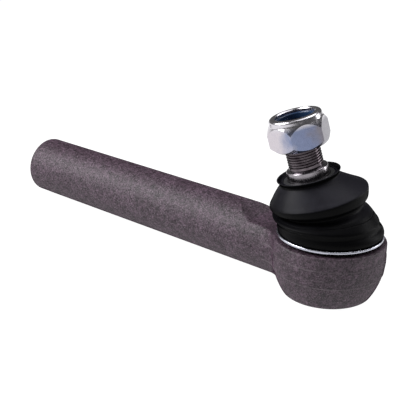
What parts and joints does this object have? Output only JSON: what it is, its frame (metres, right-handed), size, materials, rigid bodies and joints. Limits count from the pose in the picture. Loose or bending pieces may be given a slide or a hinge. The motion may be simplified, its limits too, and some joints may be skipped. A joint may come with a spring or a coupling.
{
  "type": "tie rod end",
  "caption": "Forged tie rod end with a threaded shank, a booted ball joint whose tapered stud leans and spins, and a hexagon lock nut on the stud's thread.",
  "frame": {"origin": "centre of the ball, where the shank's axis crosses the socket's axis", "axes": "-X along the shank to its threaded end, +Z along the socket's axis on the stud's side, +Y by the right-hand rule"},
  "size_m": [0.2849, 0.0658, 0.1089],
  "materials": {
    "forged_steel": "drop-forged and shot-blasted, dark grey phosphate with a faint purple-brown tint",
    "seat_plastic": "natural acetal, greased",
    "spring_steel": "oiled spring steel",
    "cover_steel": "pressed steel, phosphated",
    "seal_rubber": "smooth nitrile",
    "stud_steel": "ground and thread-cut alloy steel, lightly oiled",
    "zinc_plate": "bright zinc plate with a faint blue and pink passivation tint",
    "insert_nylon": "dark blue nylon",
    "boot_rubber": "black moulded rubber, satin",
    "ring_steel": "bright flat spring wire",
    "slide_plastic": "black acetal"
  },
  "bodies": {
    "housing": {"housing": "forged_steel", "upper_bearing_seat": "seat_plastic", "lower_bearing_seat": "seat_plastic", "seat_spring": "spring_steel", "cover_plate": "cover_steel", "cover_seal": "seal_rubber", "boot_base_ring": "ring_steel"},
    "boot": {"dust_boot": "boot_rubber"},
    "collar": {"boot_neck_ring": "spring_steel", "boot_slide_ring": "slide_plastic"},
    "stud": {"ball_stud": "stud_steel"},
    "nut_carrier": {"nut_insert": "insert_nylon"},
    "nut": {"lock_nut": "zinc_plate"}
  },
  "joints": [
    {"name": "stud_swing", "type": "hinge", "parent": "housing", "child": "boot", "pos_m": [0, 0, 0], "axis": [0, 1, 0], "range_deg": [-5, 31], "deforming": ["dust_boot"]},
    {"name": "stud_rock", "type": "hinge", "parent": "boot", "child": "collar", "pos_m": [0, 0, 0], "axis": [0.9744, 0, 0.225], "range_deg": [-26, 8], "deforming": ["dust_boot"]},
    {"name": "stud_spin", "type": "hinge", "parent": "collar", "child": "stud", "pos_m": [0, 0, 0], "axis": [-0.2222, -0.1564, 0.9624], "continuous": true},
    {"name": "nut_travel", "type": "slide", "parent": "stud", "child": "nut_carrier", "axis": [-0.2222, -0.1564, 0.9624], "range_m": [-0.0062, 0.0066]},
    {"name": "nut_spin", "type": "hinge", "parent": "nut_carrier", "child": "nut", "pos_m": [0, 0, 0], "axis": [-0.2222, -0.1564, 0.9624], "range_deg": [-1440, 1560]}
  ],
  "couplings": [
    {"joint": "nut_travel", "follows": "nut_spin", "m_per_rad": 0.00023873}
  ]
}
